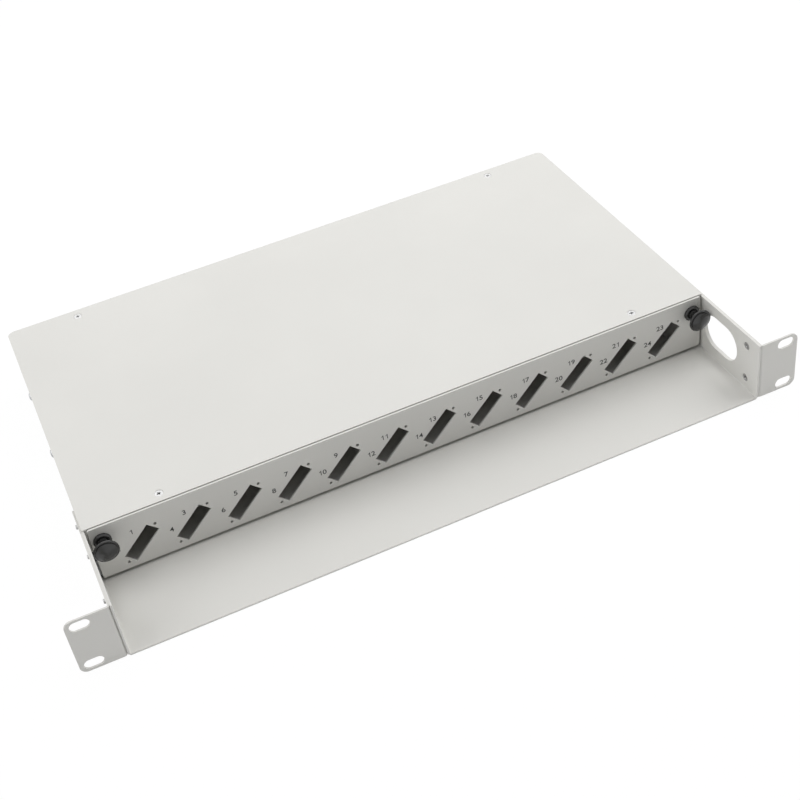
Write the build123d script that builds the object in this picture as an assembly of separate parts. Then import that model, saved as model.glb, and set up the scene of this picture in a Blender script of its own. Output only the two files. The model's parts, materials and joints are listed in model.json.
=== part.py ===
"""Sliding fibre patch panel, one rack unit high, for a 19 inch rack.

A folded steel chassis with a screwed-on cover carries a drawer on two friction slides. The drawer's
front panel has a row of slanted cut-outs for duplex adapters and is held shut by two push-pull
latches. A splice cassette sits in the drawer, and cables enter through glands in the rear wall.

Frame: the origin lies midway between the four ear slots, on the ears' rear faces. X points to the
right as seen from the front, Y to the rear and Z up. All sizes are in millimetres.
"""
from build123d import *
import os

# Sheet metal and clearances
SHEET = 1.2                # steel sheet of every folded piece
BEND_RADIUS = 0.8          # inside radius of a bend
SLIDE_GAP = 0.3            # between pieces that slide past each other
HOLE_PLAY = 0.05           # radial play of a screw, rivet or stud in its hole

# Countersunk screws of the cover and the brackets
SCREW_HEAD = 6.0
SCREW_SHANK = 3.0
SCREW_TIP = 0.4            # chamfer of a screw's end
COVER_SCREW_LENGTH = 6.0
BRACKET_SCREW_END = 1.2    # how far a screw stands out of the bracket's outer face

# Rack ears
RACK_PITCH = 465.1         # ear slots, left to right
SLOT_RISE = 31.75          # ear slots, lower to upper
SLOT_LENGTH = 12.0
SLOT_WIDTH = 7.0
EAR_EDGE = 8.75            # slot centre to the ear's outer edge
EAR_RIM = 1.625            # metal above the upper slot and below the lower one
EAR_CORNER = 5.0
EAR_NECK = 20.05           # slot centre to the inner face of the side wall
BRACKET_LENGTH = 87.0      # ear front face to the rear end of the side leg

# Chassis and cover
DEPTH = 290.6              # front edge of the cable tray to the rear wall's outer face
WALL_HEIGHT = 43.2         # underside of the floor to the top of the walls
SLOT_LINE = 21.9           # underside of the floor to the ears' mid height
REAR_CORNER = 5.0
FRONT_CORNER = 2.0
REAR_FLANGE = 16.0         # depth of the rear wall's top flange
COVER_SCREW_SPACING = 327.6
COVER_SCREW_FRONT = 7.25   # from the cover's front edge
COVER_SCREW_REAR = 7.9     # from the cover's rear edge

# Oval cable holes in the side walls
OVAL_LENGTH = 37.0
OVAL_HEIGHT = 25.0
OVAL_SETBACK = 41.7        # from the ears' front faces to the hole's centre
OVAL_RISE = 1.0            # above the ears' mid height

# Places of the bracket screws
BRACKET_SCREW_FRONT = 13.5     # from the ears' front faces
BRACKET_SCREW_REAR = 81.0
BRACKET_SCREW_RISE = 26.0      # lower to upper row

# Front panel and its cut-outs
PANEL_SETBACK = 63.7       # chassis front edge to the panel's face
PANEL_SIDE_GAP = 1.4       # panel end to side wall
PANEL_FLOOR_GAP = 2.6      # panel's lower edge to the chassis floor
PANEL_TOP_DROP = 0.4       # panel's upper edge below the cover's top
PANEL_CORNER = 1.5
COVER_GAP = 0.6            # panel's rear face to the cover's front edge
PORT_PITCH = 33.26
PORT_LENGTH = 26.0
PORT_WIDTH = 9.4
PORT_ANGLE = 45.0
PORT_RISE = 15.9           # panel's lower edge to the cut-outs' centre line
PORT_HOLE_SPACING = 30.7
PORT_HOLE = 2.0

# Push-pull latches
LATCH_INSET = 8.2          # latch axis to the inner face of the side wall
LATCH_DROP = 10.8          # latch axis below the panel's upper edge
GROMMET_FLANGE = 11.2
GROMMET_FLANGE_THICK = 1.8
GROMMET_BODY = 8.0
GROMMET_BORE = 5.2
GROMMET_DISH = 0.7         # depth of the cone round the bore, in the flange's face
GROMMET_SLIT = 1.0
GROMMET_REACH = 4.0        # legs behind the latch bracket
PIN_PLAY = 0.15            # plunger pin in the grommet, radial
KNOB = 15.9
KNOB_NECK = 5.0
KNOB_COLLAR = 6.6          # keeps the pushed-in plunger off the flange
KNOB_FRONT = 13.4          # panel face to the top of the knob's dome
KNOB_RIM = 1.5             # thickness of the knob's rim
KNOB_LEDGE = 1.3           # width of the rim round the dome
KNOB_STEP = 0.7            # height of the dome's edge above the rim
KNOB_HEAD = 4.0            # back of the rim to the top of the dome
KNOB_FLARE = 1.5           # radius between the neck and the knob's back
LATCH_PLAY = 0.5           # grommet legs in the latch bracket, radial
LATCH_EDGE = 7.6           # latch axis to the latch bracket's lower edge

# Drawer and slides
DRAWER_TRAVEL = 150.0
SLIDE_ROOM = 15.0          # tray side to chassis wall, where the slides run
REAR_ROOM = 18.0           # tray's rear end to the rear wall
TRAY_HEADROOM = 6.0        # tray sides below the cross rail
TRAY_REAR_HEIGHT = 13.0
TRAY_NOTCH = 46.0          # cable notches in the tray's rear wall
TRAY_LIP = 3.0             # metal left under a notch
RAIL_HEIGHT = 13.0
RAIL_DROP = 0.4            # rail's lower edge below the tray's underside
RAIL_CLEAR = 3.5           # rail's lips to the tray's side
RUNNER_CLEAR = 3.0         # runner's lips to the chassis wall
STOP_HEIGHT = 5.0
CROSS_RAIL_DEPTH = 14.0
CROSS_RAIL_DROP = 7.2      # height of the cross rail's stiffening flange
RIVET = 3.2
RIVET_HEAD = 5.6
RIVET_HEAD_HEIGHT = 1.2

# Splice cassette
CASSETTE_LENGTH = 170.0
CASSETTE_WIDTH = 104.0
CASSETTE_HEIGHT = 12.0
CASSETTE_WALL = 1.6
CASSETTE_CORNER = 26.0
CASSETTE_REAR = 14.0       # cassette to the tray's rear wall
CASSETTE_ENTRY = 14.0      # width of a fibre entry
SPOOL_RADIUS = 30.0
SPOOL_HEIGHT = 8.0
SPLICE_ROOM = 5.0          # splice holder to the cassette's side wall
SPLICE_PITCH = 3.0
SPLICE_RIB = 0.8
SPLICE_RIB_HEIGHT = 4.5
SPLICE_BASE = 1.5
SPLICE_LENGTH = 44.0
LID_THICK = 1.6
STUD = 4.0
STUD_BOSS = 10.0
STUD_END = 1.0             # thread above the nut
NUT = 12.0
NUT_HEIGHT = 5.0
NUT_FLUTE = 1.2            # radius of a finger flute
NUT_FLUTES = 10

# Fibre clips
CLIP_BASE = 18.0
CLIP_BASE_THICK = 1.6
CLIP_RING = 15.0
CLIP_WALL = 1.6
CLIP_MOUTH = 5.0
CLIP_WIDTH = 9.0

# Rear cable entries
ENTRY_INSET = 40.5         # gland axis to the inner face of the side wall
ENTRY_STEP = 36.0          # gland to blanking plug
ENTRY_RISE = 19.9          # above the underside of the floor
ENTRY_THREAD = 20.0
ENTRY_PLAY = 0.2           # thread in the wall's hole, radial
GLAND_FLATS = 24.0
GLAND_COLLAR = 5.0
GLAND_DOME = 14.0
GLAND_LIP = 1.6            # wall round the dome nut's mouth
GLAND_STUB = 7.0           # thread inside the rear wall
GLAND_BORE = 13.0
GLAND_PASSAGE = 11.0       # bore below the seal's seat
LOCKNUT_FLATS = 26.0
LOCKNUT_THICK = 4.5
SEAL_BORE = 8.0
PLUG_FLANGE = 24.0
PLUG_FLANGE_THICK = 1.6
PLUG_WALL = 1.5
PLUG_DEPTH = 6.0

# Places worked out from the sizes above
FRONT_Y = -SHEET
FLOOR_Z = -SLOT_LINE
FLOOR_TOP = FLOOR_Z + SHEET
WALL_TOP = FLOOR_Z + WALL_HEIGHT
COVER_TOP = WALL_TOP + SHEET
WALL_IN = RACK_PITCH / 2 - EAR_NECK
WALL_OUT = WALL_IN + SHEET
BRACKET_OUT = WALL_OUT + SHEET
EAR_TIP = RACK_PITCH / 2 + EAR_EDGE
BRACKET_END = FRONT_Y + BRACKET_LENGTH
EAR_HEIGHT = SLOT_RISE + SLOT_WIDTH + 2 * EAR_RIM
REAR_Y = FRONT_Y + DEPTH
REAR_IN = REAR_Y - SHEET
PANEL_Y = FRONT_Y + PANEL_SETBACK
PANEL_BACK = PANEL_Y + SHEET
PANEL_HALF = WALL_IN - PANEL_SIDE_GAP
PANEL_LOW = FLOOR_TOP + PANEL_FLOOR_GAP
PANEL_TOP = COVER_TOP - PANEL_TOP_DROP
COVER_FRONT = PANEL_BACK + COVER_GAP
PORT_Z = PANEL_LOW + PORT_RISE
LATCH_X = WALL_IN - LATCH_INSET
LATCH_Z = PANEL_TOP - LATCH_DROP
LATCH_PLATE_Y = PANEL_BACK + SLIDE_GAP
LATCH_PLATE_LOW = LATCH_Z - LATCH_EDGE
LATCH_PLATE_TOP = WALL_TOP - SHEET - BEND_RADIUS - SLIDE_GAP
CROSS_RAIL_Y = COVER_FRONT + HOLE_PLAY
CROSS_RAIL_LOW = WALL_TOP - CROSS_RAIL_DROP
TRAY_HALF = WALL_IN - SLIDE_ROOM
TRAY_FLOOR = PANEL_LOW + SHEET
TRAY_TOP = CROSS_RAIL_LOW - TRAY_HEADROOM
TRAY_REAR = REAR_IN - REAR_ROOM
RAIL_LOW = PANEL_LOW - RAIL_DROP
RAIL_MID = RAIL_LOW + RAIL_HEIGHT / 2
RAIL_LIP = TRAY_HALF + RAIL_CLEAR
RUNNER_LIP = WALL_IN - RUNNER_CLEAR
RUNNER_HEIGHT = RAIL_HEIGHT - 2 * SHEET - 2 * SLIDE_GAP
RUNNER_REAR = TRAY_REAR
STOP_Y = RUNNER_REAR - SHEET - DRAWER_TRAVEL - SLIDE_GAP - SHEET
RAIL_FRONT = PANEL_BACK + 2 * SHEET
SCREW_ROWS = (-BRACKET_SCREW_RISE / 2, BRACKET_SCREW_RISE / 2)
CASSETTE_Y = TRAY_REAR - SHEET - CASSETTE_REAR - CASSETTE_WIDTH / 2
CASSETTE_TOP = TRAY_FLOOR + CASSETTE_HEIGHT
SPLICE_START = STUD_BOSS / 2 + CASSETTE_WALL
SPLICE_END = CASSETTE_WIDTH / 2 - CASSETTE_WALL - SPLICE_ROOM
SPLICE_COUNT = int((SPLICE_END - SPLICE_START - SPLICE_RIB) // SPLICE_PITCH)
ENTRY_X = WALL_IN - ENTRY_INSET
ENTRY_Z = FLOOR_Z + ENTRY_RISE
PORT_REACH = PORT_LENGTH * 2 ** -0.5 + PORT_WIDTH * 2 ** -0.5
PORT_COUNT = 1 + int((2 * LATCH_X - GROMMET_FLANGE - PORT_REACH) // PORT_PITCH)


def block(x, y, z):
    """Box between the low and high ends given for each axis."""
    spans = (x, y, z)
    middle = [(low + high) / 2 for low, high in spans]
    return Pos(*middle) * Box(*[high - low for low, high in spans])


def rod_x(radius, x, y, z):
    """Cylinder along X between the two ends in x."""
    return Pos((x[0] + x[1]) / 2, y, z) * Rot(0, 90, 0) * Cylinder(radius, x[1] - x[0])


def rod_y(radius, x, y, z):
    """Cylinder along Y between the two ends in y."""
    return Pos(x, (y[0] + y[1]) / 2, z) * Rot(90, 0, 0) * Cylinder(radius, y[1] - y[0])


def rod_z(radius, x, y, z):
    """Cylinder along Z between the two ends in z."""
    return Pos(x, y, (z[0] + z[1]) / 2) * Cylinder(radius, z[1] - z[0])


def front_plane(y):
    """Sketch plane facing the front, with its own x along X and its own y along Z."""
    return Plane((0, y, 0), x_dir=(1, 0, 0), z_dir=(0, -1, 0))


def side_plane(x):
    """Sketch plane facing the right, with its own x along Y and its own y along Z."""
    return Plane((x, 0, 0), x_dir=(0, 1, 0), z_dir=(1, 0, 0))


def folded(points):
    """Face of a bent sheet whose middle line runs through the points."""
    return trace(FilletPolyline(*points, radius=BEND_RADIUS + SHEET / 2), line_width=SHEET)


def turned(points, x, z):
    """Solid of revolution about a line along Y through (x, z), from (radius, y) points."""
    return Pos(x, 0, z) * revolve(make_face(Polyline(*points, close=True)), Axis.Y)


def hexagon_y(flats, x, y, z):
    """Hexagonal prism along Y between the two ends in y, given its size across flats."""
    face = RegularPolygon(flats / 2, 6, major_radius=False)
    return extrude(front_plane(y[0]) * (Pos(x, z) * face), amount=y[1] - y[0], dir=(0, 1, 0))


def mirrored(shape):
    """The same piece on the other side of the panel."""
    return mirror(shape, about=Plane.YZ)


def grouped(shapes):
    """One node that holds several separate solids."""
    return Compound(children=[solid for shape in shapes for solid in shape.solids()])


def both_sides(shapes):
    """A group with its mirror image."""
    return grouped(list(shapes) + [mirrored(shape) for shape in shapes])


def oval_hole(x):
    """Cutter for the oval cable hole, across the span in x."""
    sketch = Pos(FRONT_Y + OVAL_SETBACK, OVAL_RISE) * SlotOverall(OVAL_LENGTH, OVAL_HEIGHT)
    return extrude(side_plane(x[0]) * sketch, amount=x[1] - x[0])


def bracket_screw_places():
    """Centres (y, z) of the four screws that hold one rack bracket."""
    rows = (BRACKET_SCREW_FRONT, BRACKET_SCREW_REAR)
    return [(FRONT_Y + y, z) for y in rows for z in SCREW_ROWS]


def countersunk(play, length):
    """Countersunk screw body below the origin, the face of its head upwards."""
    head = SCREW_HEAD / 2 + play
    shank = SCREW_SHANK / 2 + play
    points = [(0, 0), (head, 0), (shank, shank - head), (shank, SCREW_TIP - length)]
    points += [(shank - SCREW_TIP, -length), (0, -length)]
    return Rot(90, 0, 0) * revolve(make_face(Polyline(*points, close=True)), Axis.Y)


def bracket_screw_bodies(play, end):
    """The right-hand bracket's screws, heads flush with the innermost sheet, ends outside the bracket."""
    heads = (WALL_IN, WALL_IN, WALL_IN - SHEET, WALL_IN - 2 * SHEET)
    outwards = Rot(0, -90, 0)
    return [Pos(x, y, z) * outwards * countersunk(play, BRACKET_OUT + end - x)
            for x, (y, z) in zip(heads, bracket_screw_places())]


def bracket_screw_holes():
    """Cutters for the bracket screws, through every sheet that they clamp."""
    return bracket_screw_bodies(HOLE_PLAY, 2 * SHEET)


def entry_places():
    """X of the gland and of the blanking plug on the right half."""
    return ENTRY_X, ENTRY_X - ENTRY_STEP


def rail_rivet_places():
    """Y of the rivets that hold a slide rail to the wall."""
    rear = TRAY_REAR - CASSETTE_REAR
    return (STOP_Y + rear) / 2, rear


def runner_rivet_places():
    """Y of the rivets that hold a runner to the tray."""
    rear = TRAY_REAR - 2 * CASSETTE_REAR
    front = PANEL_BACK + 2 * CASSETTE_REAR
    return front, (front + rear) / 2, rear


def cover_screw_places():
    """Centres (x, y) of the four cover screws."""
    rows = (COVER_FRONT + COVER_SCREW_FRONT, REAR_Y - COVER_SCREW_REAR)
    return [(side * COVER_SCREW_SPACING / 2, y) for y in rows for side in (-1, 1)]


def rounded_plan(half, front, rear, rear_corner):
    """Plan outline with rounded rear corners."""
    face = Pos(0, (front + rear) / 2) * Rectangle(2 * half, rear - front)
    return fillet(face.vertices().group_by(Axis.Y)[-1], rear_corner)


def rounded_tub(plan, low, bend):
    """Solid on a plan up to the walls' top, its lower side and rear edges rounded like a bend."""
    tub = Pos(0, 0, low) * extrude(plan, WALL_TOP - low)
    rim = tub.edges().group_by(Axis.Z)[0]
    return fillet(rim - rim.sort_by(Axis.Y)[:1], bend)


def base_chassis():
    """Floor, side walls and rear wall folded from one sheet, open at the front and the top."""
    outer = rounded_plan(WALL_OUT, FRONT_Y, REAR_Y, REAR_CORNER)
    inner = rounded_plan(WALL_IN, FRONT_Y - SHEET, REAR_IN, REAR_CORNER - SHEET)
    body = rounded_tub(outer, FLOOR_Z, BEND_RADIUS + SHEET) - rounded_tub(inner, FLOOR_TOP, BEND_RADIUS)
    flange_half = WALL_IN - REAR_CORNER
    flange_y = (REAR_IN - REAR_FLANGE, REAR_IN)
    body += block((-flange_half, flange_half), flange_y, (WALL_TOP - SHEET, WALL_TOP))
    for hole in cover_screw_holes():
        body -= hole
    wall = (WALL_IN - SHEET, WALL_OUT + SHEET)
    cutters = [oval_hole(wall), floor_corner()] + bracket_screw_holes()
    cutters += [rod_x(RIVET / 2 + HOLE_PLAY, wall, y, RAIL_MID) for y in rail_rivet_places()]
    for x in entry_places():
        cutters.append(rod_y(ENTRY_THREAD / 2 + ENTRY_PLAY, x, (REAR_IN - SHEET, REAR_Y + SHEET), ENTRY_Z))
    for cutter in cutters:
        body -= cutter
        body -= mirrored(cutter)
    return body


def floor_corner():
    """Cutter that rounds the floor's right front corner in plan."""
    x, y = WALL_OUT - FRONT_CORNER, FRONT_Y + FRONT_CORNER
    z = (FLOOR_Z - SHEET, FLOOR_TOP)
    return block((x, WALL_OUT + SHEET), (FRONT_Y - SHEET, y), z) - rod_z(FRONT_CORNER, x, y, z)


def top_cover():
    """Flat cover plate with rounded corners and four countersunk holes."""
    plate = rounded_plan(WALL_OUT, COVER_FRONT, REAR_Y, REAR_CORNER)
    plate = fillet(plate.vertices().group_by(Axis.Y)[0], PANEL_CORNER)
    plate = Pos(0, 0, WALL_TOP) * extrude(plate, SHEET)
    for hole in cover_screw_holes():
        plate -= hole
    return plate


def cover_screw_bodies(play, length):
    """The four cover screws, heads flush with the cover."""
    return [Pos(x, y, COVER_TOP) * countersunk(play, length) for x, y in cover_screw_places()]


def cover_screw_holes():
    """Cutters for the cover screws, through the cover and the sheet below it."""
    return cover_screw_bodies(HOLE_PLAY, 3 * SHEET)


def cover_screws():
    """Four countersunk screws, flush with the cover."""
    return grouped(cover_screw_bodies(0, COVER_SCREW_LENGTH))


def front_cross_rail():
    """Folded rail under the cover's front edge, with end tabs that turn down along the walls."""
    rear = CROSS_RAIL_Y + CROSS_RAIL_DEPTH
    edge = SHEET / 2
    top = WALL_TOP - edge
    section = folded([(CROSS_RAIL_Y, top), (rear - edge, top), (rear - edge, CROSS_RAIL_LOW)])
    inside = WALL_IN - 4 * SHEET
    rail = Pos(-inside, 0, 0) * extrude(side_plane(0) * section, amount=2 * inside)
    end = folded([(inside, top), (WALL_IN - edge, top), (WALL_IN - edge, LATCH_PLATE_LOW)])
    tab = extrude(front_plane(CROSS_RAIL_Y) * end, amount=BRACKET_END - CROSS_RAIL_Y, dir=(0, 1, 0))
    tab -= bracket_screw_holes()[-1]
    for hole in cover_screw_holes():
        rail -= hole
    return rail + tab + mirrored(tab)


def rack_bracket():
    """Right-hand L bracket: slotted ear in front, side leg along the chassis wall."""
    edge = SHEET / 2
    leg = WALL_OUT + edge
    path = [(EAR_TIP, FRONT_Y + edge), (leg, FRONT_Y + edge), (leg, BRACKET_END)]
    body = Pos(0, 0, -EAR_HEIGHT / 2) * extrude(folded(path), EAR_HEIGHT)
    tips = body.edges().filter_by(Axis.Y).group_by(Axis.X)[-1]
    body = fillet(tips, EAR_CORNER)
    for z in (-SLOT_RISE / 2, SLOT_RISE / 2):
        slot = Pos(RACK_PITCH / 2, z) * SlotOverall(SLOT_LENGTH, SLOT_WIDTH)
        body -= extrude(front_plane(FRONT_Y - SHEET) * slot, amount=3 * SHEET, dir=(0, 1, 0))
    body -= oval_hole((WALL_OUT - SHEET, BRACKET_OUT + SHEET))
    for hole in bracket_screw_holes():
        body -= hole
    return body


def bracket_screws():
    """Four countersunk screws of the right-hand bracket, driven from inside the chassis."""
    return grouped(bracket_screw_bodies(0, BRACKET_SCREW_END))


def slide_rail():
    """Right-hand C rail on the chassis wall, open towards the drawer, with a stop lug inside."""
    edge = SHEET / 2
    top = RAIL_LOW + RAIL_HEIGHT - edge
    low = RAIL_LOW + edge
    back = WALL_IN - edge
    section = folded([(RAIL_LIP, top), (back, top), (back, low), (RAIL_LIP, low)])
    rail = extrude(front_plane(RAIL_FRONT) * section, amount=TRAY_REAR - RAIL_FRONT, dir=(0, 1, 0))
    stop = (RAIL_MID - STOP_HEIGHT / 2, RAIL_MID + STOP_HEIGHT / 2)
    rail += block((RAIL_LIP + SHEET, back), (STOP_Y, STOP_Y + SHEET), stop)
    rail -= bracket_screw_holes()[-2]
    for y in rail_rivet_places():
        rail -= rod_x(RIVET / 2 + HOLE_PLAY, (WALL_IN - 2 * SHEET, WALL_OUT), y, RAIL_MID)
    return rail


def rivet(x, y, z):
    """Blind rivet along X with a domed head beyond the high end and a set end beyond the low one."""
    low, high = x
    shank = rod_x(RIVET / 2, (low - RIVET_HEAD_HEIGHT, high + RIVET_HEAD_HEIGHT), y, z)
    for end in ((low - RIVET_HEAD_HEIGHT, low), (high, high + RIVET_HEAD_HEIGHT)):
        shank += rod_x(RIVET_HEAD / 2, end, y, z)
    rims = shank.edges().filter_by(GeomType.CIRCLE)
    return chamfer(rims.group_by(Axis.X)[0] + rims.group_by(Axis.X)[-1], RIVET_HEAD_HEIGHT / 2)


def slide_rail_rivets():
    """Rivets that hold both slide rails to the side walls."""
    return both_sides([rivet((WALL_IN - SHEET, WALL_OUT), y, RAIL_MID) for y in rail_rivet_places()])


def latch_bracket():
    """Right-hand L bracket behind the panel, with the hole that the latch enters."""
    edge = SHEET / 2
    leg = WALL_IN - SHEET - edge
    near = TRAY_HALF + 2 * SLIDE_GAP
    path = [(near, LATCH_PLATE_Y + edge), (leg, LATCH_PLATE_Y + edge), (leg, BRACKET_END)]
    body = Pos(0, 0, LATCH_PLATE_LOW) * extrude(folded(path), LATCH_PLATE_TOP - LATCH_PLATE_LOW)
    body -= rod_y(GROMMET_BODY / 2 + LATCH_PLAY, LATCH_X, (PANEL_Y, LATCH_PLATE_Y + 2 * SHEET), LATCH_Z)
    return body - bracket_screw_holes()[-1]


def drawer_tray():
    """Folded drawer: floor, two sides, a notched rear wall and front flanges welded to the panel."""
    edge = SHEET / 2
    side = TRAY_HALF - edge
    low = PANEL_LOW + edge
    section = folded([(-side, TRAY_TOP), (-side, low), (side, low), (side, TRAY_TOP)])
    tray = extrude(front_plane(PANEL_BACK) * section, amount=TRAY_REAR - PANEL_BACK, dir=(0, 1, 0))
    rear = (TRAY_REAR - SHEET, TRAY_REAR)
    tray += block((-side, side), rear, (PANEL_LOW + edge, TRAY_FLOOR + TRAY_REAR_HEIGHT))
    flange_z = (TRAY_FLOOR, LATCH_PLATE_LOW - SHEET)
    flange = block((side, WALL_IN - 2 * SHEET), (PANEL_BACK, PANEL_BACK + SHEET), flange_z)
    middle = ENTRY_X - ENTRY_STEP / 2
    notch_x = (middle - TRAY_NOTCH / 2, middle + TRAY_NOTCH / 2)
    notch_z = (TRAY_FLOOR + TRAY_LIP, TRAY_FLOOR + 2 * TRAY_REAR_HEIGHT)
    notch = block(notch_x, (rear[0] - SHEET, rear[1] + SHEET), notch_z)
    tray += flange + mirrored(flange)
    tray -= notch + mirrored(notch)
    for y in runner_rivet_places():
        hole = rod_x(RIVET / 2 + HOLE_PLAY, (TRAY_HALF - 2 * SHEET, TRAY_HALF + SHEET), y, RAIL_MID)
        tray -= hole + mirrored(hole)
    return tray - rod_z(STUD / 2 + HOLE_PLAY, 0, CASSETTE_Y, (PANEL_LOW - SHEET, TRAY_FLOOR + SHEET))


def drawer_runner():
    """Right-hand C runner on the tray's side, nested in the slide rail, closed at its rear end."""
    edge = SHEET / 2
    back = TRAY_HALF + edge
    top = RAIL_MID + RUNNER_HEIGHT / 2 - edge
    low = RAIL_MID - RUNNER_HEIGHT / 2 + edge
    section = folded([(RUNNER_LIP, top), (back, top), (back, low), (RUNNER_LIP, low)])
    front = PANEL_BACK + SHEET
    runner = extrude(front_plane(front) * section, amount=RUNNER_REAR - front, dir=(0, 1, 0))
    runner += block((back, RUNNER_LIP - SHEET), (RUNNER_REAR - SHEET, RUNNER_REAR), (low, top))
    for y in runner_rivet_places():
        runner -= rod_x(RIVET / 2 + HOLE_PLAY, (TRAY_HALF - SHEET, TRAY_HALF + 2 * SHEET), y, RAIL_MID)
    return runner


def runner_rivets():
    """Rivets that hold both runners to the tray."""
    span = (TRAY_HALF - SHEET, TRAY_HALF + SHEET)
    return both_sides([rivet(span, y, RAIL_MID) for y in runner_rivet_places()])


def port_places():
    """X of the adapter cut-outs, evenly spread about the middle."""
    return [(number - (PORT_COUNT - 1) / 2) * PORT_PITCH for number in range(PORT_COUNT)]


def front_panel():
    """Flat drawer front with slanted adapter cut-outs, their screw holes and two latch holes."""
    height = PANEL_TOP - PANEL_LOW
    face = Pos(0, PANEL_LOW + height / 2) * RectangleRounded(2 * PANEL_HALF, height, PANEL_CORNER)
    for x in port_places():
        port = Rectangle(PORT_LENGTH, PORT_WIDTH)
        for end in (-PORT_HOLE_SPACING / 2, PORT_HOLE_SPACING / 2):
            port += Pos(end, 0) * Circle(PORT_HOLE / 2)
        face -= Pos(x, PORT_Z) * Rot(0, 0, PORT_ANGLE) * port
    for x in (-LATCH_X, LATCH_X):
        face -= Pos(x, LATCH_Z) * Circle(GROMMET_BODY / 2 + HOLE_PLAY)
    return extrude(front_plane(PANEL_Y) * face, amount=SHEET, dir=(0, 1, 0))


def latch_grommet():
    """Right-hand latch grommet: a flange before the panel and four split legs behind it."""
    front = PANEL_Y - GROMMET_FLANGE_THICK
    rear = LATCH_PLATE_Y + SHEET + GROMMET_REACH
    flange, body, bore = GROMMET_FLANGE / 2, GROMMET_BODY / 2, GROMMET_BORE / 2
    bevel = GROMMET_FLANGE_THICK / 2
    points = [(bore, front + GROMMET_DISH), (body, front), (flange - bevel, front), (flange, front + bevel)]
    points += [(flange, PANEL_Y)]
    points += [(body, PANEL_Y), (body, rear - bevel), (body - bevel, rear), (bore, rear)]
    grommet = turned(points, LATCH_X, LATCH_Z)
    slit = (PANEL_BACK, rear + SHEET)
    across = (LATCH_X - body - SHEET, LATCH_X + body + SHEET)
    upright = (LATCH_Z - body - SHEET, LATCH_Z + body + SHEET)
    grommet -= block(across, slit, (LATCH_Z - GROMMET_SLIT / 2, LATCH_Z + GROMMET_SLIT / 2))
    return grommet - block((LATCH_X - GROMMET_SLIT / 2, LATCH_X + GROMMET_SLIT / 2), slit, upright)


def latch_plunger():
    """Right-hand latch plunger: a pin through the grommet and a mushroom knob in front."""
    rest = PANEL_Y - GROMMET_FLANGE_THICK - SLIDE_GAP
    tip = LATCH_PLATE_Y + SHEET + GROMMET_REACH
    dome = PANEL_Y - KNOB_FRONT
    pin, neck, collar, rim = GROMMET_BORE / 2 - PIN_PLAY, KNOB_NECK / 2, KNOB_COLLAR / 2, KNOB / 2
    rim_back = dome + KNOB_HEAD
    rim_front = rim_back - KNOB_RIM
    bevel = KNOB_RIM / 3
    ledge = rim - KNOB_LEDGE
    stem = Polyline((0, tip), (pin / 2, tip), (pin, tip - pin / 2), (pin, rest), (collar, rest),
                    (collar, rest - KNOB_RIM), (neck, rest - KNOB_RIM), (neck, rim_back + KNOB_FLARE))
    flare = TangentArc(stem @ 1, (neck + KNOB_FLARE, rim_back), tangent=(0, -1))
    lip = Polyline(flare @ 1, (rim - bevel, rim_back), (rim, rim_back - bevel), (rim, rim_front + bevel),
                   (rim - bevel, rim_front), (ledge, rim_front), (ledge, rim_front - KNOB_STEP))
    crown = TangentArc((0, dome), lip @ 1, tangent=(1, 0))
    face = make_face(stem + flare + lip + crown + Line((0, dome), (0, tip)))
    return Pos(LATCH_X, 0, LATCH_Z) * revolve(face, Axis.Y)


def cassette_outline(inset):
    """Plan of the splice cassette, moved inwards by the inset."""
    size = (CASSETTE_LENGTH - 2 * inset, CASSETTE_WIDTH - 2 * inset)
    return Pos(0, CASSETTE_Y) * RectangleRounded(*size, CASSETTE_CORNER - inset)


def splice_cassette():
    """Open plastic tray with four fibre entries and two round guides that set the bend radius."""
    tray = extrude(cassette_outline(0), CASSETTE_HEIGHT)
    tray -= Pos(0, 0, CASSETTE_WALL) * extrude(cassette_outline(CASSETTE_WALL), CASSETTE_HEIGHT)
    guide_x = CASSETTE_LENGTH / 2 - CASSETTE_WALL - SPOOL_RADIUS - CASSETTE_ENTRY
    for side in (-1, 1):
        ring = Circle(SPOOL_RADIUS) - Circle(SPOOL_RADIUS - CASSETTE_WALL)
        ring -= Pos(-side * SPOOL_RADIUS, 0) * Rectangle(2 * SPOOL_RADIUS, 4 * SPOOL_RADIUS)
        tray += Pos(side * guide_x, CASSETTE_Y, CASSETTE_WALL) * extrude(ring, SPOOL_HEIGHT)
    for x in (-guide_x, guide_x):
        entry = block((x - CASSETTE_ENTRY / 2, x + CASSETTE_ENTRY / 2),
                      (CASSETTE_Y - CASSETTE_WIDTH, CASSETTE_Y + CASSETTE_WIDTH),
                      (CASSETTE_HEIGHT / 2, 2 * CASSETTE_HEIGHT))
        ends = CASSETTE_WIDTH / 2 - 2 * CASSETTE_WALL
        tray -= entry - block((-CASSETTE_LENGTH, CASSETTE_LENGTH), (CASSETTE_Y - ends, CASSETTE_Y + ends),
                              (0, 2 * CASSETTE_HEIGHT))
    tray += rod_z(STUD_BOSS / 2, 0, CASSETTE_Y, (0, CASSETTE_HEIGHT))
    tray -= rod_z(STUD / 2 + HOLE_PLAY, 0, CASSETTE_Y, (-CASSETTE_HEIGHT, 2 * CASSETTE_HEIGHT))
    return Pos(0, 0, TRAY_FLOOR) * tray


def cassette_lid():
    """Flat lid with a rim that snaps inside the cassette's wall."""
    lid = Pos(0, 0, CASSETTE_TOP) * extrude(cassette_outline(0), LID_THICK)
    rim = cassette_outline(CASSETTE_WALL + SLIDE_GAP) - cassette_outline(2 * CASSETTE_WALL + SLIDE_GAP)
    lid += Pos(0, 0, CASSETTE_TOP - CASSETTE_WALL) * extrude(rim, CASSETTE_WALL)
    hole = (CASSETTE_TOP - LID_THICK, CASSETTE_TOP + 2 * LID_THICK)
    return lid - rod_z(STUD / 2 + HOLE_PLAY, 0, CASSETTE_Y, hole)


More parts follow.
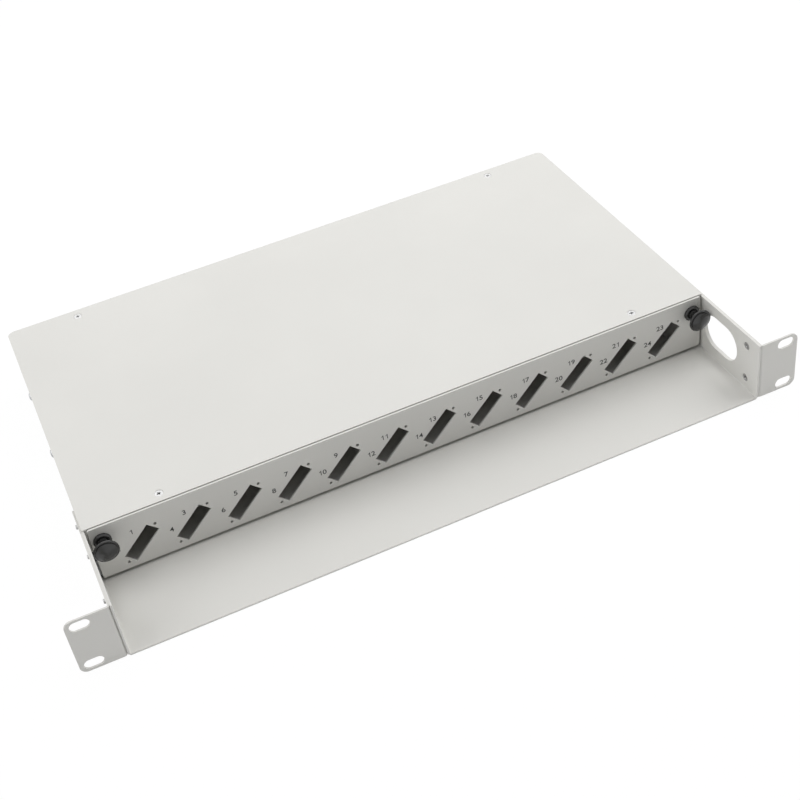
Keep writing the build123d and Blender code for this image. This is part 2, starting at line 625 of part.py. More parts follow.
def splice_holders():
    """Two combs of grooves for the splice sleeves, before and behind the stud."""
    width = SPLICE_COUNT * SPLICE_PITCH + SPLICE_RIB
    section = Pos(width / 2, SPLICE_BASE / 2) * Rectangle(width, SPLICE_BASE)
    for number in range(SPLICE_COUNT + 1):
        middle = (number * SPLICE_PITCH + SPLICE_RIB / 2, SPLICE_BASE + SPLICE_RIB_HEIGHT / 2)
        section += Pos(*middle) * Rectangle(SPLICE_RIB, SPLICE_RIB_HEIGHT)
    comb = extrude(side_plane(-SPLICE_LENGTH / 2) * section, amount=SPLICE_LENGTH)
    comb = Pos(0, SPLICE_START, TRAY_FLOOR + CASSETTE_WALL) * comb
    return grouped([Pos(0, CASSETTE_Y, 0) * comb, Pos(0, CASSETTE_Y, 0) * mirror(comb, about=Plane.XZ)])


def cassette_stud():
    """Threaded stud pressed into the tray's floor."""
    return rod_z(STUD / 2, 0, CASSETTE_Y, (PANEL_LOW, CASSETTE_TOP + LID_THICK + NUT_HEIGHT + STUD_END))


def cassette_nut():
    """Fluted thumb nut that holds the lid and the cassette down."""
    low = CASSETTE_TOP + LID_THICK
    nut = rod_z(NUT / 2, 0, CASSETTE_Y, (low, low + NUT_HEIGHT))
    for place in PolarLocations(NUT / 2 + NUT_FLUTE / 2, NUT_FLUTES):
        flute = Pos(0, CASSETTE_Y, low + NUT_HEIGHT / 2) * place * Cylinder(NUT_FLUTE, 2 * NUT_HEIGHT)
        nut -= flute
    return nut - rod_z(STUD / 2 + HOLE_PLAY, 0, CASSETTE_Y, (low - SHEET, low + 2 * NUT_HEIGHT))


def fibre_clip(x, y):
    """Open ring on a stick-down base, its mouth upwards."""
    radius = CLIP_RING / 2
    rise = CLIP_BASE_THICK + radius - CLIP_WALL / 2
    section = Pos(0, rise) * (Circle(radius) - Circle(radius - CLIP_WALL))
    section -= Pos(0, rise + radius) * Rectangle(CLIP_MOUTH, CLIP_RING)
    base = Pos(0, CLIP_BASE_THICK / 2) * Rectangle(CLIP_BASE, CLIP_BASE_THICK)
    hollow = Pos(0, rise) * Circle(radius - CLIP_WALL)
    ring = extrude(front_plane(-CLIP_WIDTH / 2) * (section - base), amount=CLIP_WIDTH, dir=(0, 1, 0))
    foot = extrude(front_plane(-CLIP_BASE / 2) * (base - hollow), amount=CLIP_BASE, dir=(0, 1, 0))
    return Pos(x, y, TRAY_FLOOR) * (ring + foot)


def fibre_clips():
    """Four clips that guide the fibres round the drawer's corners."""
    x = (CASSETTE_LENGTH / 2 + TRAY_HALF) / 2
    rows = (PANEL_BACK + 2 * CLIP_BASE, CASSETTE_Y + CASSETTE_WIDTH / 2 - CLIP_BASE)
    return grouped([fibre_clip(side * x, y) for y in rows for side in (-1, 1)])


def gland_bodies():
    """Gland bodies: a hexagon outside the rear wall, a thread through it and a neck for the dome nut."""
    x = ENTRY_X
    seat = REAR_Y + GLAND_COLLAR
    neck_end = seat + GLAND_DOME / 2
    body = hexagon_y(GLAND_FLATS, x, (REAR_Y, seat), ENTRY_Z)
    body += rod_y(ENTRY_THREAD / 2, x, (REAR_IN - GLAND_STUB, neck_end), ENTRY_Z)
    body -= rod_y(GLAND_PASSAGE / 2, x, (REAR_IN - 2 * GLAND_STUB, neck_end), ENTRY_Z)
    body -= rod_y(GLAND_BORE / 2, x, (seat, neck_end + GLAND_DOME), ENTRY_Z)
    return both_sides([body])


def gland_locknuts():
    """Hexagonal lock nuts inside the rear wall."""
    nut = hexagon_y(LOCKNUT_FLATS, ENTRY_X, (REAR_IN - LOCKNUT_THICK, REAR_IN), ENTRY_Z)
    nut -= rod_y(ENTRY_THREAD / 2 + HOLE_PLAY, ENTRY_X, (REAR_IN - 2 * LOCKNUT_THICK, REAR_Y), ENTRY_Z)
    return both_sides([nut])


def gland_dome_nuts():
    """Dome nuts: a hexagon that narrows to a rounded mouth."""
    base = REAR_Y + GLAND_COLLAR + SLIDE_GAP
    end = REAR_Y + GLAND_COLLAR + GLAND_DOME
    neck_end = REAR_Y + GLAND_COLLAR + GLAND_DOME / 2
    corner = GLAND_FLATS / 3 ** 0.5
    mouth = GLAND_BORE / 2
    lip = mouth + GLAND_LIP
    dome = TangentArc((corner, neck_end), (lip, end), tangent=(0, 1))
    outline = Polyline((0, base), (corner, base), (corner, neck_end)) + dome
    crown = make_face(outline + Polyline((lip, end), (0, end), (0, base)))
    nut = hexagon_y(GLAND_FLATS, ENTRY_X, (base, end), ENTRY_Z)
    nut &= Pos(ENTRY_X, 0, ENTRY_Z) * revolve(crown, Axis.Y)
    nut -= rod_y(ENTRY_THREAD / 2 + HOLE_PLAY, ENTRY_X, (REAR_Y, neck_end + SLIDE_GAP), ENTRY_Z)
    return both_sides([nut - rod_y(mouth, ENTRY_X, (REAR_Y, end + SHEET), ENTRY_Z)])


def gland_seals():
    """Rubber sleeves that rest on the seats inside the gland bodies."""
    x = ENTRY_X
    seat = REAR_Y + GLAND_COLLAR
    span = (seat, seat + GLAND_DOME - SHEET)
    seal = rod_y(GLAND_BORE / 2 - HOLE_PLAY, x, span, ENTRY_Z)
    return both_sides([seal - rod_y(SEAL_BORE / 2, x, (REAR_Y, seat + 2 * GLAND_DOME), ENTRY_Z)])


def blanking_plugs():
    """Push-in plugs that close the unused cable entries."""
    x = entry_places()[-1]
    outer = PLUG_FLANGE / 2
    body = ENTRY_THREAD / 2
    bevel = PLUG_FLANGE_THICK / 2
    back = REAR_Y + PLUG_FLANGE_THICK
    inner, tip = body - PLUG_WALL, REAR_Y - PLUG_DEPTH
    points = [(0, back), (outer - bevel, back), (outer, back - bevel), (outer, REAR_Y), (body, REAR_Y)]
    points += [(body, tip), (inner, tip), (inner, REAR_Y), (0, REAR_Y)]
    return both_sides([turned(points, x, ENTRY_Z)])


def pieces():
    """Every node of the panel by name."""
    nodes = {
        "base_chassis": base_chassis(),
        "top_cover": top_cover(),
        "cover_screws": cover_screws(),
        "front_cross_rail": front_cross_rail(),
        "slide_rail_rivets": slide_rail_rivets(),
        "drawer_tray": drawer_tray(),
        "front_panel": front_panel(),
        "runner_rivets": runner_rivets(),
        "splice_cassette": splice_cassette(),
        "cassette_lid": cassette_lid(),
        "splice_holders": splice_holders(),
        "cassette_stud": cassette_stud(),
        "cassette_nut": cassette_nut(),
        "fibre_clips": fibre_clips(),
        "gland_bodies": gland_bodies(),
        "gland_locknuts": gland_locknuts(),
        "gland_dome_nuts": gland_dome_nuts(),
        "gland_seals": gland_seals(),
        "blanking_plugs": blanking_plugs(),
    }
    sided = {
        "rack_bracket": rack_bracket(),
        "bracket_screws": bracket_screws(),
        "slide_rail": slide_rail(),
        "latch_bracket": latch_bracket(),
        "drawer_runner": drawer_runner(),
        "latch_grommet": latch_grommet(),
        "latch_plunger": latch_plunger(),
    }
    for name, shape in sided.items():
        nodes["right_" + name] = shape
        nodes["left_" + name] = mirrored(shape)
    return nodes


os.makedirs("parts", exist_ok=True)
for node, solid in pieces().items():
    export_step(solid, f"parts/{node}.step")
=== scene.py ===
"""Looks of the sliding fibre patch panel: finishes, fastener heads, port numbers, light and camera."""
import json
import math
import bmesh
import bpy
from mathutils import Matrix, Quaternion, Vector


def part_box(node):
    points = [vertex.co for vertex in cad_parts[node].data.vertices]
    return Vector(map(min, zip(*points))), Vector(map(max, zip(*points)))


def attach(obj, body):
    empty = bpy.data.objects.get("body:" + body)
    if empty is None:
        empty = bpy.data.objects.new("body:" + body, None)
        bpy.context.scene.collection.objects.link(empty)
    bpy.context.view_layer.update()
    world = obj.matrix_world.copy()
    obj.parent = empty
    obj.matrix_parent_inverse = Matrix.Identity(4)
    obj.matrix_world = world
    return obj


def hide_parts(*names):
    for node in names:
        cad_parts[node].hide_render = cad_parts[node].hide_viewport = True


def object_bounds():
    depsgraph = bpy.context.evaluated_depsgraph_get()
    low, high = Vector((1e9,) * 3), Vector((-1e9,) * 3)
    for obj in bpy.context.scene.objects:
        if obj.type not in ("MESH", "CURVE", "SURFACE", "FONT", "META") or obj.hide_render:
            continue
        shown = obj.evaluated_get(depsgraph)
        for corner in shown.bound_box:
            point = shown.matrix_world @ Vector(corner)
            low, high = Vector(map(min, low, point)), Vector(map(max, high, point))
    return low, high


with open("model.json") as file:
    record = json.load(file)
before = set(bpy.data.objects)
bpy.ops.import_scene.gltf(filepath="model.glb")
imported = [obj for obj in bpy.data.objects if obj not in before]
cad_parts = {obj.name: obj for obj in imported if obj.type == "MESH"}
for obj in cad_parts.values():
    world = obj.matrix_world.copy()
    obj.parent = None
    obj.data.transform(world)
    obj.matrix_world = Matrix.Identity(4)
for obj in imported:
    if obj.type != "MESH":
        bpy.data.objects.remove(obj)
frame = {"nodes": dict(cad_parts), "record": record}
cad_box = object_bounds()
nodes = frame["nodes"]
scene = bpy.context.scene
scene.view_settings.view_transform = "Standard"

MM = 0.001                      # print and fasteners are sized in millimetres and scaled at the end

# Finishes
NOISE_LOW = 0.3                 # the noise mostly stays between these two
NOISE_HIGH = 0.7
PATCH_DETAIL = 4.0
GRAIN_DETAIL = 3.0
GRAIN_HEIGHT = 0.1 * MM
EVEN = (1.0, 1.0, 1.0)          # no tint, or no stretch
WARM = (1.0, 0.991, 0.95)       # tints of a grey
COOL = (0.98, 1.0, 1.03)
BRUSHED = (1.0, 0.08, 1.0)      # draws patches and grain out along Y

# Printed port numbers
DIGIT_HEIGHT = 3.65
DIGIT_STRETCH = 1.1             # the figures are this much wider than the font's
DIGIT_PITCH = 2.85              # from one digit of a number to the next
FIGURE_ONE = (                  # corners of a one with its flag, in shares of its height
    (0.0, 0.0), (0.13, 0.0), (0.13, 1.0), (0.04, 1.0),
    (-0.06, 0.86), (-0.22, 0.77), (-0.22, 0.64), (0.0, 0.76),
)
INK_THICK = 0.04
INK_SPREAD = 0.012              # how far the ink runs beyond the letter form, in the font's units
PRINT_RUNS = (                  # first port, its odd and even number from the cut-out, shift per port
    (0, Vector((-4.1, 11.3)), Vector((-14.8, 1.9)), Vector((0.0, 0.0))),
    (1, Vector((-4.1, 10.8)), Vector((-14.0, 1.4)), Vector((0.0, -0.475))),
    (4, Vector((-4.2, 9.4)), Vector((-14.8, 0.0)), Vector((0.0, -0.475))),
    (7, Vector((-4.2, 10.8)), Vector((-13.8, 1.4)), Vector((0.3, 0.0))),
)

# Countersunk screws with a cross recess
RECESS_REACH = 0.5              # length of the cross, as a share of the head's diameter
RECESS_ARM = 0.17               # width of its arms, likewise
RECESS_TAPER = 0.55             # share of both that is left at the bottom
RECESS_DEPTH = 1.4
RECESS_LIFT = 0.2               # the cutter starts above the head by this share of the depth
RECESS_TURN = math.radians(25)  # turn of the first screw's cross
RECESS_STEP = math.radians(70)  # further turn from screw to screw
SCREW_SINK = 0.3                # the heads lie this far below the sheet
SCREW_SHANK = 3.0
SCREW_RIM = 0.15                # height of the head's edge
SCREW_BEVEL = 0.09              # taken off that edge
SCREW_TIP = 0.4                 # bevel at the end of the shank

# Blind rivets
RIVET_SHANK = 0.29              # radius of the shank, as a share of the head's diameter
RIVET_HEAD_HEIGHT = 1.2
RIVET_BRIM = 0.25               # height of the head's edge below the dome
RIVET_PIT = 0.9                 # radius of the pit that the mandrel leaves
RIVET_PIT_DEPTH = 0.45
RIVET_PIT_FLARE = 0.15          # how much wider the mouth of the pit is
RIVET_PIT_LIP = 0.12            # depth of that flare
SET_END_HEIGHT = 1.2            # swollen end behind the sheet
SET_END_NOSE = 1.45             # its width near the end, in shanks
SET_END_NOSE_HEIGHT = 0.35
SET_END_BELLY = 1.5             # its greatest width, in shanks
SET_END_BELLY_HEIGHT = 0.96

# Turned and joined meshes
ROUND_STEPS = 48
DOME_STEPS = 6
SHARP_ANGLE = math.radians(35)  # edges sharper than this stay crisp
WELD_DISTANCE = 0.002           # corners nearer than this are one

# Camera and light, in metres and watts
CAMERA_PLACE = Vector((-0.2107, -0.5553, 0.5714))
CAMERA_TARGET = Vector((0.0048, 0.0981, 0.0))
CAMERA_ROLL = math.radians(-8.97)
CAMERA_NEAR = 0.01
LENS = 61.49
SENSOR = 36.0
WHITE = (1.0, 1.0, 1.0, 1.0)
WORLD_LIGHT = 0.05
FLOOR_SIZE = 3.0
FLOOR_COLOUR = (0.82, 0.82, 0.82, 1.0)
FLOOR_GLOW = 0.3                # light that comes up through the white table
WHITE_SHARE = 0.95              # share of the floor's colour that is plain white to the camera
LAMP_TARGET = Vector((0.0, 0.12, 0.0))
LAMPS = (                       # name, power, place and size
    ("right", 24.0, Vector((1.4, 0.2, 1.0)), 2.0),
    ("left", 17.0, Vector((-1.4, 0.2, 1.0)), 2.0),
    ("rear", 7.4, Vector((0.2, 1.4, 0.9)), 1.4),
    ("top", 7.3, Vector((0.0, 0.15, 1.4)), 1.6),
)


def set_inputs(node, **values):
    """Sets inputs of a shader node, named with underscores for spaces."""
    for name, value in values.items():
        node.inputs[name.replace("_", " ")].default_value = value
    return node


def add(tree, kind, **values):
    """A new shader node with some of its inputs set."""
    return set_inputs(tree.nodes.new(kind), **values)


def noise(tree, scale, detail, stretch):
    """Noise in the object's own metres, stretched along its axes."""
    place = add(tree, "ShaderNodeTexCoord")
    mapping = add(tree, "ShaderNodeMapping", Scale=stretch)
    texture = add(tree, "ShaderNodeTexNoise", Scale=scale, Detail=detail)
    tree.links.new(place.outputs["Object"], mapping.inputs["Vector"])
    tree.links.new(mapping.outputs["Vector"], texture.inputs["Vector"])
    return texture.outputs["Fac"]


def ramp(tree, factor, low, high):
    """Colour that runs from low to high as the factor grows."""
    made = tree.nodes.new("ShaderNodeValToRGB")
    ends = made.color_ramp.elements
    for end, position, colour in ((ends[0], NOISE_LOW, low), (ends[1], NOISE_HIGH, high)):
        end.position = position
        end.color = (*colour, 1.0)
    tree.links.new(factor, made.inputs["Fac"])
    return made.outputs["Color"]


def spread(tree, factor, low, high):
    """Number that runs from low to high as the factor grows."""
    made = add(tree, "ShaderNodeMapRange", From_Min=NOISE_LOW, From_Max=NOISE_HIGH, To_Min=low, To_Max=high)
    tree.links.new(factor, made.inputs["Value"])
    return made.outputs["Result"]


def finish_surface(name, colours, roughness, patch, grain, bump, stretch=EVEN, **constants):
    """Procedural finish: broad colour patches, uneven gloss and a fine grain in relief."""
    material = bpy.data.materials.new(name)
    material.use_nodes = True
    tree = material.node_tree
    shader = set_inputs(tree.nodes["Principled BSDF"], **constants)
    patches = noise(tree, patch, PATCH_DETAIL, stretch)
    fine = noise(tree, grain, GRAIN_DETAIL, stretch)
    relief = add(tree, "ShaderNodeBump", Strength=bump, Distance=GRAIN_HEIGHT)
    tree.links.new(fine, relief.inputs["Height"])
    tree.links.new(ramp(tree, patches, *colours), shader.inputs["Base Color"])
    tree.links.new(spread(tree, fine, *roughness), shader.inputs["Roughness"])
    tree.links.new(relief.outputs["Normal"], shader.inputs["Normal"])
    return material


def grey(level, tint=EVEN):
    """A grey of that linear level with a slight tint."""
    return tuple(level * part for part in tint)


finishes = {
    "grey_powder_coat": finish_surface(
        "powder_coat", (grey(0.685, WARM), grey(0.715, WARM)), (0.54, 0.68), patch=9.0, grain=1700.0,
        bump=0.10),
    "zinc_steel": finish_surface(
        "zinc_plating", (grey(0.40), grey(0.47, COOL)), (0.32, 0.48), patch=60.0, grain=900.0, bump=0.06,
        stretch=BRUSHED, Metallic=1.0),
    "screw_steel": finish_surface(
        "nickel_plating", (grey(0.40), grey(0.46)), (0.28, 0.42), patch=300.0, grain=1500.0, bump=0.05,
        Metallic=1.0),
    "black_latch_plastic": finish_surface(
        "black_nylon", (grey(0.024), grey(0.034)), (0.12, 0.22), patch=120.0, grain=2200.0, bump=0.04),
    "gland_plastic": finish_surface(
        "gland_nylon", (grey(0.020), grey(0.030)), (0.42, 0.58), patch=90.0, grain=1800.0, bump=0.14),
    "seal_rubber": finish_surface(
        "seal_rubber", (grey(0.014), grey(0.022)), (0.62, 0.78), patch=200.0, grain=1500.0, bump=0.16),
    "cassette_plastic": finish_surface(
        "cassette_plastic", (grey(0.022), grey(0.032)), (0.45, 0.62), patch=60.0, grain=1500.0, bump=0.18),
    "lid_plastic": finish_surface(
        "frosted_lid", (grey(0.80), grey(0.86)), (0.34, 0.48), patch=40.0, grain=1200.0, bump=0.08,
        Transmission_Weight=0.55, IOR=1.49),
    "white_plastic": finish_surface(
        "white_plastic", (grey(0.72), grey(0.78, WARM)), (0.38, 0.52), patch=70.0, grain=1600.0, bump=0.10),
}
ink = finish_surface(
    "printing_ink", (grey(0.030), grey(0.055)), (0.50, 0.70), patch=900.0, grain=2500.0, bump=0.08)

for subpart in frame["record"]["subparts"]:
    mesh = nodes[subpart["node"]].data
    mesh.materials.clear()
    mesh.materials.append(finishes[subpart["material_slot"]])


def as_mesh(form, name):
    """Turns a bmesh into a mesh and frees it."""
    mesh = bpy.data.meshes.new(name)
    form.to_mesh(mesh)
    form.free()
    return mesh


def linked(name, data):
    """A new object of the scene."""
    made = bpy.data.objects.new(name, data)
    scene.collection.objects.link(made)
    return made


def evaluated_mesh(carrier):
    """The mesh that an object gives with its modifiers or as text."""
    seen = carrier.evaluated_get(bpy.context.evaluated_depsgraph_get())
    return bpy.data.meshes.new_from_object(seen)


def new_piece(name, placed, material, body):
    """One piece that moves with a body, joined from pairs of a mesh and its place, in millimetres."""
    form = bmesh.new()
    for mesh, place in placed:
        copy = mesh.copy()
        copy.transform(Matrix.Scale(MM, 4) @ place)
        form.from_mesh(copy)
        bpy.data.meshes.remove(copy)
    joined = as_mesh(form, name)
    joined.materials.clear()
    joined.materials.append(material)
    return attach(linked(name, joined), body)


def shade_smooth(piece):
    """Shades a piece smoothly, apart from its sharp edges."""
    piece.data.set_sharp_from_angle(angle=SHARP_ANGLE)
    piece.data.polygons.foreach_set("use_smooth", [True] * len(piece.data.polygons))


def solids_of(node):
    """Lowest and highest corners, in millimetres, of the separate solids in a CAD node."""
    form = bmesh.new()
    form.from_mesh(nodes[node].data)
    bmesh.ops.remove_doubles(form, verts=form.verts, dist=WELD_DISTANCE * MM)
    todo = set(form.verts)
    boxes = []
    while todo:
        reach = [todo.pop()]
        group = []
        while reach:
            vert = reach.pop()
            group.append(vert.co / MM)
            near = {edge.other_vert(vert) for edge in vert.link_edges} & todo
            todo -= near
            reach.extend(near)
        low = Vector(min(point[axis] for point in group) for axis in range(3))
        high = Vector(max(point[axis] for point in group) for axis in range(3))
        boxes.append((low, high))
    form.free()
    return sorted(boxes, key=lambda pair: tuple(round(v, 3) for v in pair[0]))


def lathe(profile):
    """Closed solid of revolution about Z from (radius, height) points, bottom first, ends on the axis."""
    form = bmesh.new()
    rings = []
    for radius, height in profile:
        count = ROUND_STEPS if radius else 1
        angles = [math.tau * number / count for number in range(count)]
        rings.append([form.verts.new((radius * math.cos(a), radius * math.sin(a), height)) for a in angles])
    for low, high in zip(rings, rings[1:]):
        for number in range(ROUND_STEPS):
            after = (number + 1) % ROUND_STEPS
            corners = [low[number % len(low)], low[after % len(low)]]
            corners += [high[after % len(high)], high[number % len(high)]]
            form.faces.new(list(dict.fromkeys(corners)))
    bmesh.ops.recalc_face_normals(form, faces=form.faces)
    return form


def recess_bar(length, width):
    """Cutter of one bar of a cross recess: it narrows downwards and has its stated size at z = 0."""
    form = bmesh.new()
    corners = []
    above = 1.0 + (1.0 - RECESS_TAPER) * RECESS_LIFT
    for height, share in ((RECESS_DEPTH * RECESS_LIFT, above), (-RECESS_DEPTH, RECESS_TAPER)):
        for x, y in ((-1, -1), (1, -1), (1, 1), (-1, 1)):
            corners.append(form.verts.new((x * length * share / 2, y * width * share / 2, height)))
    top, low = corners[:4], corners[4:]
    form.faces.new(top)
    form.faces.new(low[::-1])
    for number in range(4):
        after = (number + 1) % 4
        form.faces.new((top[after], top[number], low[number], low[after]))
    bmesh.ops.recalc_face_normals(form, faces=form.faces)
    return form


def cross_recess(head):
    """Cutters of the cross recess in a head of that diameter."""
    cutters = []
    for angle in (0.0, math.pi / 2):
        form = recess_bar(head * RECESS_REACH, head * RECESS_ARM)
        form.transform(Matrix.Rotation(angle, 4, "Z"))
        cutters.append(form)
    return cutters


def carved(form, cutters, name):
    """The mesh of a form with the cutters taken away."""
    body = linked(name, as_mesh(form, name))
    tools = []
    for cutter in cutters:
        tool = linked(name + "_cutter", as_mesh(cutter, name + "_cutter"))
        tools.append(tool)
        cut = body.modifiers.new("cut", "BOOLEAN")
        cut.operation = "DIFFERENCE"
        cut.solver = "EXACT"
        cut.object = tool
    mesh = evaluated_mesh(body)
    for extra in [body] + tools:
        bpy.data.objects.remove(extra)
    return mesh


def countersunk(head, length, name):
    """Mesh of a countersunk screw with a cross recess, the face of its head at z = 0."""
    rim = head / 2
    shank = SCREW_SHANK / 2
    cone = rim - shank
    profile = [
        (0, -length), (shank - SCREW_TIP, -length), (shank, SCREW_TIP - length), (shank, -cone - SCREW_RIM),
        (rim, -SCREW_RIM), (rim, -SCREW_BEVEL), (rim - SCREW_BEVEL, 0), (0, 0),
    ]
    return carved(lathe(profile), cross_recess(head), name)


def screws(node, lay):
    """Countersunk screws in place of a node's plain ones; lay turns Z to where their heads face."""
    facing = lay @ Vector((0, 0, 1))
    placed = []
    for number, (low, high) in enumerate(solids_of(node)):
        size = high - low
        length = abs(size.dot(facing)) - SCREW_SINK
        head = max(side for side, part in zip(size, facing) if not round(part)) - 2 * SCREW_SINK
        face = (low + high) / 2 + facing * (length - SCREW_SINK) / 2
        turn = Matrix.Rotation(RECESS_TURN + RECESS_STEP * number, 4, "Z")
        placed.append((countersunk(head, length, node), Matrix.Translation(face) @ lay @ turn))
    piece = new_piece(node + "_recessed", placed, finishes["screw_steel"], "chassis")
    shade_smooth(piece)
    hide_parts(node)


def dome(radius, mouth, low, high):
    """Profile points of a domed head, from its rim at low to the mouth of its pit at high."""
    arc = math.acos(mouth / radius)
    points = []
    for number in range(DOME_STEPS + 1):
        angle = arc * number / DOME_STEPS
        points.append((radius * math.cos(angle), low + (high - low) * math.sin(angle) / math.sin(arc)))
    return points


def rivet_profile(head, length):
    """Profile of a blind rivet, from its set end at z = 0 to the pit in its domed head."""
    shank = head * RIVET_SHANK
    seat = length - RIVET_HEAD_HEIGHT
    bottom = length - RIVET_PIT_DEPTH
    set_end = [
        (0, 0), (shank, 0), (shank * SET_END_NOSE, SET_END_NOSE_HEIGHT),
        (shank * SET_END_BELLY, SET_END_BELLY_HEIGHT), (shank, SET_END_HEIGHT),
    ]
    below_head = [(shank, seat), (head / 2, seat)]
    crown = dome(head / 2, RIVET_PIT + RIVET_PIT_FLARE, seat + RIVET_BRIM, length)
    pit = [(RIVET_PIT, length - RIVET_PIT_LIP), (RIVET_PIT, bottom), (0, bottom)]
    return set_end + below_head + crown + pit


def rivets(node, name, body):
    """Blind rivets in place of a node's plain ones, their heads outward."""
    solids = solids_of(node)
    size = solids[0][1] - solids[0][0]
    mesh = as_mesh(lathe(rivet_profile(size.y, size.x)), node)
    placed = []
    for low, high in solids:
        middle = (low + high) / 2
        outward = 1 if middle.x > 0 else -1
        middle.x = low.x if outward > 0 else high.x
        turn = Matrix.Rotation(outward * math.pi / 2, 4, "Y")
        placed.append((mesh, Matrix.Translation(middle) @ turn))
    piece = new_piece(name, placed, finishes["zinc_steel"], body)
    shade_smooth(piece)
    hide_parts(node)


def port_centres():
    """Centres (x, z) of the adapter cut-outs, from the mounts of the record, left to right."""
    mounts = [mount for mount in frame["record"]["mounts"] if mount["name"].startswith("adapter_screws")]
    return sorted((mount["pos_m"][0] / MM, mount["pos_m"][2] / MM) for mount in mounts)


def flagged_one():
    """The figure one as a thin plate, because the font's own is a bare stroke."""
    form = bmesh.new()
    face = form.faces.new([form.verts.new((x, y, -INK_THICK / 2)) for x, y in FIGURE_ONE])
    raised = bmesh.ops.extrude_face_region(form, geom=[face])["geom"]
    corners = [part for part in raised if isinstance(part, bmesh.types.BMVert)]
    bmesh.ops.translate(form, verts=corners, vec=(0, 0, INK_THICK))
    bmesh.ops.recalc_face_normals(form, faces=form.faces)
    return as_mesh(form, "digit")


def font_digit(digit):
    """A digit of the font as a thin plate, with its ink run out a little."""
    curve = bpy.data.curves.new("digit", "FONT")
    curve.body = digit
    curve.offset = INK_SPREAD
    curve.extrude = INK_THICK / 2
    carrier = linked("digit", curve)
    mesh = evaluated_mesh(carrier)
    bpy.data.objects.remove(carrier)
    return mesh


def digit_mesh(digit):
    """Thin plate of one digit, centred, at its real height."""
    mesh = flagged_one() if digit == "1" else font_digit(digit)
    heights = [vert.co.y for vert in mesh.vertices]
    across = [vert.co.x for vert in mesh.vertices]
    scale = DIGIT_HEIGHT / (max(heights) - min(heights))
    middle = Vector(((max(across) + min(across)) / 2, (max(heights) + min(heights)) / 2, 0))
    mesh.transform(Matrix.Diagonal((scale * DIGIT_STRETCH, scale, 1, 1)) @ Matrix.Translation(-middle))
    return mesh


def port_numbers():
    """The printed numbers beside the cut-outs, two to each, joined into one thin piece."""
    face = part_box("front_panel")[0].y / MM
    upright = Matrix.Rotation(math.pi / 2, 4, "X")
    placed = []
    for port, (x, z) in enumerate(port_centres()):
        first, odd, even, shift = [run for run in PRINT_RUNS if run[0] <= port][-1]
        for number, start in ((2 * port + 1, odd), (2 * port + 2, even)):
            right, up = start + shift * (port - first)
            digits = str(number)
            for count, digit in enumerate(digits):
                across = x + right + (count - (len(digits) - 1) / 2) * DIGIT_PITCH
                place = Matrix.Translation((across, face - INK_THICK / 2, z + up))
                placed.append((digit_mesh(digit), place @ upright))
    new_piece("port_numbers", placed, ink, "drawer")


def camera():
    """The photograph's view."""
    data = bpy.data.cameras.new("camera")
    data.lens = LENS
    data.sensor_width = SENSOR
    data.sensor_fit = "HORIZONTAL"
    data.clip_start = CAMERA_NEAR
    view = linked("camera", data)
    view.location = CAMERA_PLACE
    view.rotation_mode = "QUATERNION"
    look = (CAMERA_TARGET - CAMERA_PLACE).to_track_quat("-Z", "Y")
    view.rotation_quaternion = look @ Quaternion((0, 0, 1), CAMERA_ROLL)
    scene.camera = view


def empty_tree(owner):
    """The cleared node tree of a world or a material."""
    owner.use_nodes = True
    owner.node_tree.nodes.clear()
    return owner.node_tree


def seen_directly(tree):
    """Number that is 1 for rays from the camera, from gloss or through glass."""
    path = tree.nodes.new("ShaderNodeLightPath")
    total = path.outputs["Is Camera Ray"]
    for name in ("Is Glossy Ray", "Is Transmission Ray"):
        either = tree.nodes.new("ShaderNodeMath")
        either.operation = "MAXIMUM"
        tree.links.new(total, either.inputs[0])
        tree.links.new(path.outputs[name], either.inputs[1])
        total = either.outputs["Value"]
    return total


def surroundings():
    """White surroundings that light the object only a little."""
    scene.world = bpy.data.worlds.new("studio")
    tree = empty_tree(scene.world)
    sky = add(tree, "ShaderNodeBackground", Color=WHITE, Strength=WORLD_LIGHT)
    white = add(tree, "ShaderNodeBackground", Color=WHITE, Strength=1.0)
    mix = tree.nodes.new("ShaderNodeMixShader")
    out = tree.nodes.new("ShaderNodeOutputWorld")
    tree.links.new(seen_directly(tree), mix.inputs["Fac"])
    tree.links.new(sky.outputs["Background"], mix.inputs[1])
    tree.links.new(white.outputs["Background"], mix.inputs[2])
    tree.links.new(mix.outputs["Shader"], out.inputs["Surface"])


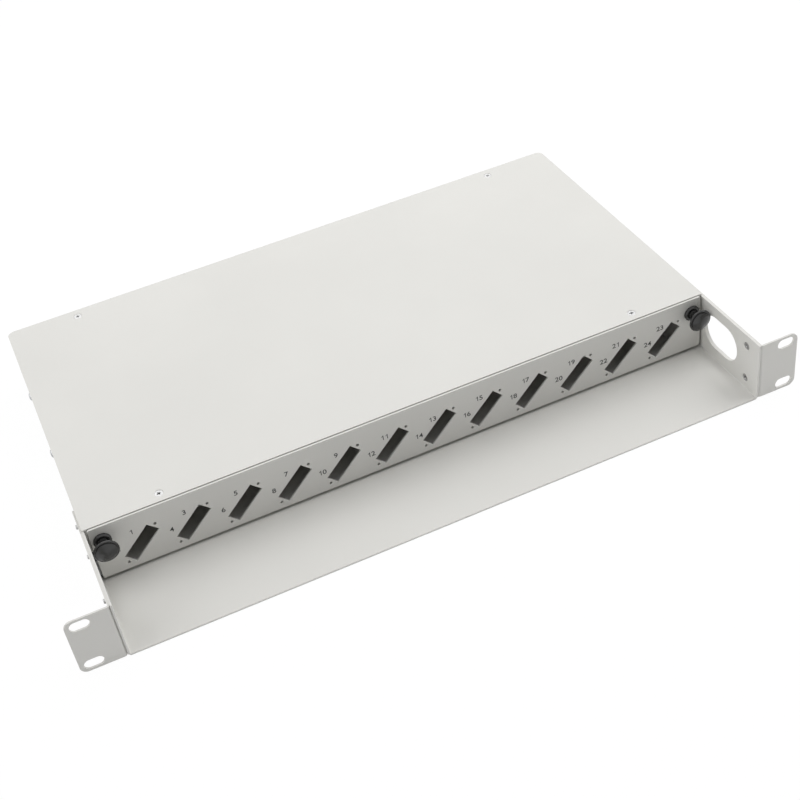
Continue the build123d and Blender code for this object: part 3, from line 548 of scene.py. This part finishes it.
def floor_material():
    """Pale table, lit from below too and mostly plain white where it is seen, so its shadow is light."""
    material = bpy.data.materials.new("pale_floor")
    tree = empty_tree(material)
    matt = add(tree, "ShaderNodeBsdfDiffuse", Color=FLOOR_COLOUR)
    glow = add(tree, "ShaderNodeEmission", Color=WHITE, Strength=FLOOR_GLOW)
    lit = tree.nodes.new("ShaderNodeAddShader")
    white = add(tree, "ShaderNodeEmission", Color=WHITE, Strength=1.0)
    share = tree.nodes.new("ShaderNodeMath")
    share.operation = "MULTIPLY"
    share.inputs[1].default_value = WHITE_SHARE
    mix = tree.nodes.new("ShaderNodeMixShader")
    out = tree.nodes.new("ShaderNodeOutputMaterial")
    tree.links.new(seen_directly(tree), share.inputs[0])
    tree.links.new(share.outputs["Value"], mix.inputs["Fac"])
    tree.links.new(matt.outputs["BSDF"], lit.inputs[0])
    tree.links.new(glow.outputs["Emission"], lit.inputs[1])
    tree.links.new(lit.outputs["Shader"], mix.inputs[1])
    tree.links.new(white.outputs["Emission"], mix.inputs[2])
    tree.links.new(mix.outputs["Shader"], out.inputs["Surface"])
    return material


def table():
    """The floor under the object, which keeps its shadow."""
    form = bmesh.new()
    bmesh.ops.create_grid(form, x_segments=1, y_segments=1, size=FLOOR_SIZE / 2)
    floor = linked("floor", as_mesh(form, "floor"))
    floor.location.z = cad_box[0].z
    floor.data.materials.append(floor_material())


def lamps():
    """Broad soft lamps round the object."""
    for name, power, place, size in LAMPS:
        light = bpy.data.lights.new(name, "AREA")
        light.energy = power
        light.size = size
        lamp = linked(name, light)
        lamp.location = place
        lamp.rotation_mode = "QUATERNION"
        lamp.rotation_quaternion = (LAMP_TARGET - place).to_track_quat("-Z", "Y")


screws("cover_screws", Matrix())
screws("left_bracket_screws", Matrix.Rotation(math.pi / 2, 4, "Y"))
screws("right_bracket_screws", Matrix.Rotation(-math.pi / 2, 4, "Y"))
rivets("slide_rail_rivets", "slide_rail_rivet_heads", "chassis")
rivets("runner_rivets", "runner_rivet_heads", "drawer")
port_numbers()
camera()
surroundings()
table()
lamps()
